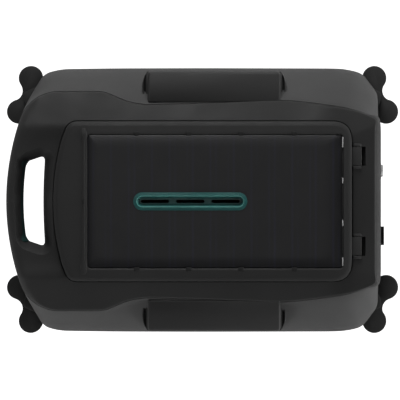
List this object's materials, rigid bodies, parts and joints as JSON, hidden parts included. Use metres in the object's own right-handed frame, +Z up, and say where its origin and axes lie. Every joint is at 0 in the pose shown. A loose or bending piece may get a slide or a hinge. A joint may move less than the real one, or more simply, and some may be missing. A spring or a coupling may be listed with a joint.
{
  "type": "robotic pool cleaner",
  "caption": "Tracked robotic pool cleaner with a carrying handle, lift-up lid with a top water outlet, filter basket, brush rollers and corner guide rollers.",
  "frame": {"origin": "on the ground, under the middle of the cleaner", "axes": "+X from the carrying handle to the hinged end of the lid, +Z up"},
  "size_m": [0.45, 0.307, 0.2],
  "materials": {
    "shell": "fine-grained moulded plastic, dark grey",
    "side": "satin moulded plastic, mid grey",
    "pod": "satin moulded plastic, dark grey",
    "bracket": "moulded plastic, charcoal",
    "window": "smoked translucent plastic",
    "teal": "dark teal, satin gloss",
    "trim": "black plastic",
    "button": "light grey, satin",
    "basket": "moulded plastic",
    "mesh": "fine woven filter mesh",
    "rubber": "matt black rubber",
    "roller": "charcoal rubber",
    "track": "black ribbed rubber",
    "brush": "soft teal rubber fins",
    "wheel": "moulded plastic",
    "steel": "bright steel",
    "board": "green circuit board",
    "cell": "shrink-wrapped cells"
  },
  "bodies": {
    "chassis": {"upper_shell": "shell", "handle_liner": "teal", "lower_shell": "shell", "lid_gasket": "rubber", "filter_basket": "basket", "filter_screen": "mesh", "basket_grip": "teal", "motor_housing": "shell", "motor_housing_cap": "shell", "pump_motor": "steel", "impeller_duct": "shell", "battery_pack": "cell", "control_board": "board", "charge_port": "trim", "side_cover_left": "side", "side_pod_left": "pod", "lid_hinge_pin_left": "steel", "drive_motor_left": "steel", "idler_axle_left": "steel", "track_left": "track", "corner_bracket_front_left": "bracket", "corner_bracket_rear_left": "bracket", "side_cover_right": "side", "side_pod_right": "pod", "lid_hinge_pin_right": "steel", "drive_motor_right": "steel", "idler_axle_right": "steel", "track_right": "track", "corner_bracket_front_right": "bracket", "corner_bracket_rear_right": "bracket"},
    "lid": {"lid_frame": "shell", "lid_window": "window", "outlet_nozzle": "teal", "outlet_grille": "trim", "lid_latch": "shell"},
    "impeller": {"impeller": "teal"},
    "flap_front": {"inlet_flap_front": "rubber"},
    "flap_rear": {"inlet_flap_rear": "rubber"},
    "brush_front": {"brush_roller_front": "brush"},
    "brush_rear": {"brush_roller_rear": "brush"},
    "charge_cap": {"charge_cap": "rubber"},
    "power_button": {"power_button": "button"},
    "drive_wheel_left": {"drive_wheel_left": "wheel"},
    "idler_wheel_left": {"idler_wheel_left": "wheel"},
    "drive_wheel_right": {"drive_wheel_right": "wheel"},
    "idler_wheel_right": {"idler_wheel_right": "wheel"},
    "roller_front_left_outer": {"guide_roller_front_left_outer": "roller"},
    "roller_front_left_inner": {"guide_roller_front_left_inner": "roller"},
    "roller_front_right_outer": {"guide_roller_front_right_outer": "roller"},
    "roller_front_right_inner": {"guide_roller_front_right_inner": "roller"},
    "roller_rear_left_outer": {"guide_roller_rear_left_outer": "roller"},
    "roller_rear_left_inner": {"guide_roller_rear_left_inner": "roller"},
    "roller_rear_right_outer": {"guide_roller_rear_right_outer": "roller"},
    "roller_rear_right_inner": {"guide_roller_rear_right_inner": "roller"}
  },
  "joints": [
    {"name": "lid_hinge", "type": "hinge", "parent": "chassis", "child": "lid", "pos_m": [0.1775, 0, 0.188], "axis": [0, 1, 0], "range_deg": [0, 100]},
    {"name": "impeller_spin", "type": "hinge", "parent": "chassis", "child": "impeller", "pos_m": [-0.013, 0, 0.1], "axis": [0, 0, 1], "continuous": true},
    {"name": "inlet_flap_front_hinge", "type": "hinge", "parent": "chassis", "child": "flap_front", "pos_m": [-0.121, 0, 0.1014], "axis": [0, -1, 0], "range_deg": [0, 55]},
    {"name": "inlet_flap_rear_hinge", "type": "hinge", "parent": "chassis", "child": "flap_rear", "pos_m": [0.119, 0, 0.1014], "axis": [0, 1, 0], "range_deg": [0, 55]},
    {"name": "charge_cap_hinge", "type": "hinge", "parent": "chassis", "child": "charge_cap", "pos_m": [0.2068, -0.0405, 0.1185], "axis": [0, 1, 0], "range_deg": [0, 110]},
    {"name": "power_button_press", "type": "slide", "parent": "chassis", "child": "power_button", "axis": [-1, 0, 0], "range_m": [0, 0.002], "stiffness_N_per_m": 300},
    {"name": "drive_wheel_left_spin", "type": "hinge", "parent": "chassis", "child": "drive_wheel_left", "pos_m": [0.128, 0.127, 0.048], "axis": [0, 1, 0], "continuous": true},
    {"name": "idler_wheel_left_spin", "type": "hinge", "parent": "chassis", "child": "idler_wheel_left", "pos_m": [-0.112, 0.127, 0.048], "axis": [0, 1, 0], "continuous": true},
    {"name": "drive_wheel_right_spin", "type": "hinge", "parent": "chassis", "child": "drive_wheel_right", "pos_m": [0.128, -0.127, 0.048], "axis": [0, 1, 0], "continuous": true},
    {"name": "idler_wheel_right_spin", "type": "hinge", "parent": "chassis", "child": "idler_wheel_right", "pos_m": [-0.112, -0.127, 0.048], "axis": [0, 1, 0], "continuous": true},
    {"name": "brush_front_spin", "type": "hinge", "parent": "chassis", "child": "brush_front", "pos_m": [-0.152, 0, 0.0275], "axis": [0, 1, 0], "continuous": true},
    {"name": "brush_rear_spin", "type": "hinge", "parent": "chassis", "child": "brush_rear", "pos_m": [0.176, 0, 0.0275], "axis": [0, 1, 0], "continuous": true},
    {"name": "roller_front_left_outer_spin", "type": "hinge", "parent": "chassis", "child": "roller_front_left_outer", "pos_m": [-0.2111, 0.101, 0.051], "axis": [0, 0, 1], "continuous": true},
    {"name": "roller_front_left_inner_spin", "type": "hinge", "parent": "chassis", "child": "roller_front_left_inner", "pos_m": [-0.1975, 0.1396, 0.051], "axis": [0, 0, 1], "continuous": true},
    {"name": "roller_front_right_outer_spin", "type": "hinge", "parent": "chassis", "child": "roller_front_right_outer", "pos_m": [-0.2111, -0.101, 0.051], "axis": [0, 0, 1], "continuous": true},
    {"name": "roller_front_right_inner_spin", "type": "hinge", "parent": "chassis", "child": "roller_front_right_inner", "pos_m": [-0.1975, -0.1396, 0.051], "axis": [0, 0, 1], "continuous": true},
    {"name": "roller_rear_left_outer_spin", "type": "hinge", "parent": "chassis", "child": "roller_rear_left_outer", "pos_m": [0.2111, 0.101, 0.051], "axis": [0, 0, 1], "continuous": true},
    {"name": "roller_rear_left_inner_spin", "type": "hinge", "parent": "chassis", "child": "roller_rear_left_inner", "pos_m": [0.1975, 0.1396, 0.051], "axis": [0, 0, 1], "continuous": true},
    {"name": "roller_rear_right_outer_spin", "type": "hinge", "parent": "chassis", "child": "roller_rear_right_outer", "pos_m": [0.2111, -0.101, 0.051], "axis": [0, 0, 1], "continuous": true},
    {"name": "roller_rear_right_inner_spin", "type": "hinge", "parent": "chassis", "child": "roller_rear_right_inner", "pos_m": [0.1975, -0.1396, 0.051], "axis": [0, 0, 1], "continuous": true}
  ],
  "couplings": [
    {"joint": "idler_wheel_left_spin", "follows": "drive_wheel_left_spin", "ratio": 1},
    {"joint": "idler_wheel_right_spin", "follows": "drive_wheel_right_spin", "ratio": 1},
    {"joint": "brush_front_spin", "follows": "drive_wheel_left_spin", "ratio": 2},
    {"joint": "brush_rear_spin", "follows": "drive_wheel_right_spin", "ratio": 2}
  ]
}
